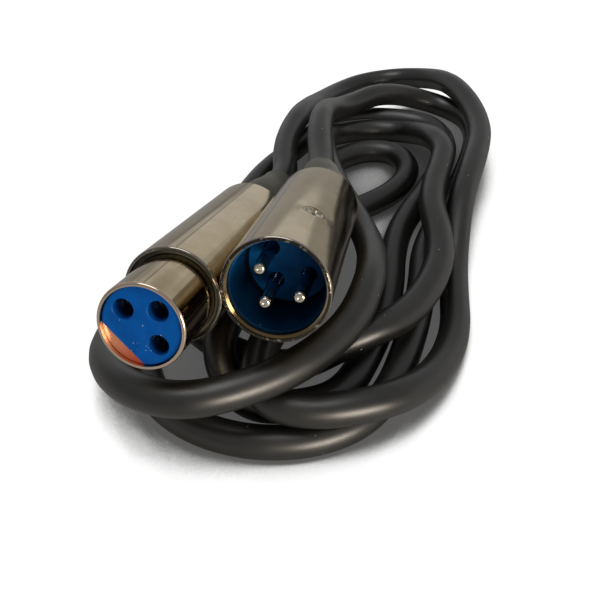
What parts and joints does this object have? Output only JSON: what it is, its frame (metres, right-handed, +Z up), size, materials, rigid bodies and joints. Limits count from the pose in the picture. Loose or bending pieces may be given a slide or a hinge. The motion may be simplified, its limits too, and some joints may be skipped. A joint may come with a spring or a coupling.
{
  "type": "xlr cable coil",
  "caption": "Hand coiled microphone lead, a cup plug with pins and a latching socket lying side by side on its loose turns.",
  "frame": {"origin": "centre of the bounding box at the table surface that the coil lies on", "axes": "+Z up, +Y from the connectors' open ends towards the coil's far end, +X to the right seen from the connectors' open ends"},
  "size_m": [0.1018, 0.1697, 0.0449],
  "materials": {
    "nickel": "satin nickel plating",
    "blue_plastic": "matt",
    "boot_rubber": "matt",
    "cable_jacket": "satin",
    "wire_white": "matt",
    "wire_red": "matt",
    "wire_bare": "twisted copper screen",
    "copper_plate": "satin copper",
    "contact_plating": "bright plating",
    "black_plastic": "matt",
    "steel": "satin"
  },
  "bodies": {
    "lead": {"cable_coil": "cable_jacket", "plug_boot": "boot_rubber", "plug_cable_end": "cable_jacket", "plug_clamp_lower": "black_plastic", "plug_clamp_screw_left": "steel", "plug_clamp_screw_right": "steel", "plug_clamp_upper": "black_plastic", "plug_insert": "blue_plastic", "plug_pin_middle": "contact_plating", "plug_pin_one": "contact_plating", "plug_pin_two": "contact_plating", "plug_set_screw": "steel", "plug_shell": "nickel", "plug_wire_middle": "wire_bare", "plug_wire_one": "wire_white", "plug_wire_two": "wire_red", "socket_barrel": "nickel", "socket_boot": "boot_rubber", "socket_cable_end": "cable_jacket", "socket_clamp_lower": "black_plastic", "socket_clamp_screw_left": "steel", "socket_clamp_screw_right": "steel", "socket_clamp_upper": "black_plastic", "socket_contact_middle": "contact_plating", "socket_contact_one": "contact_plating", "socket_contact_two": "contact_plating", "socket_insert": "blue_plastic", "socket_keeper_plate": "copper_plate", "socket_latch_carrier": "black_plastic", "socket_latch_pin": "steel", "socket_latch_spring": "steel", "socket_nose": "nickel", "socket_seal_ring": "boot_rubber", "socket_wire_middle": "wire_bare", "socket_wire_one": "wire_white", "socket_wire_two": "wire_red"},
    "latch": {"socket_latch": "steel"}
  },
  "joints": [
    {"name": "latch_press", "type": "hinge", "parent": "lead", "child": "latch", "pos_m": [-0.02967, -0.04386, 0.01555], "axis": [-0.6754, 0.3702, 0.6378], "range_deg": [0, 2.3], "stiffness_Nm_per_rad": 0.3, "springref_deg": -2.86}
  ]
}
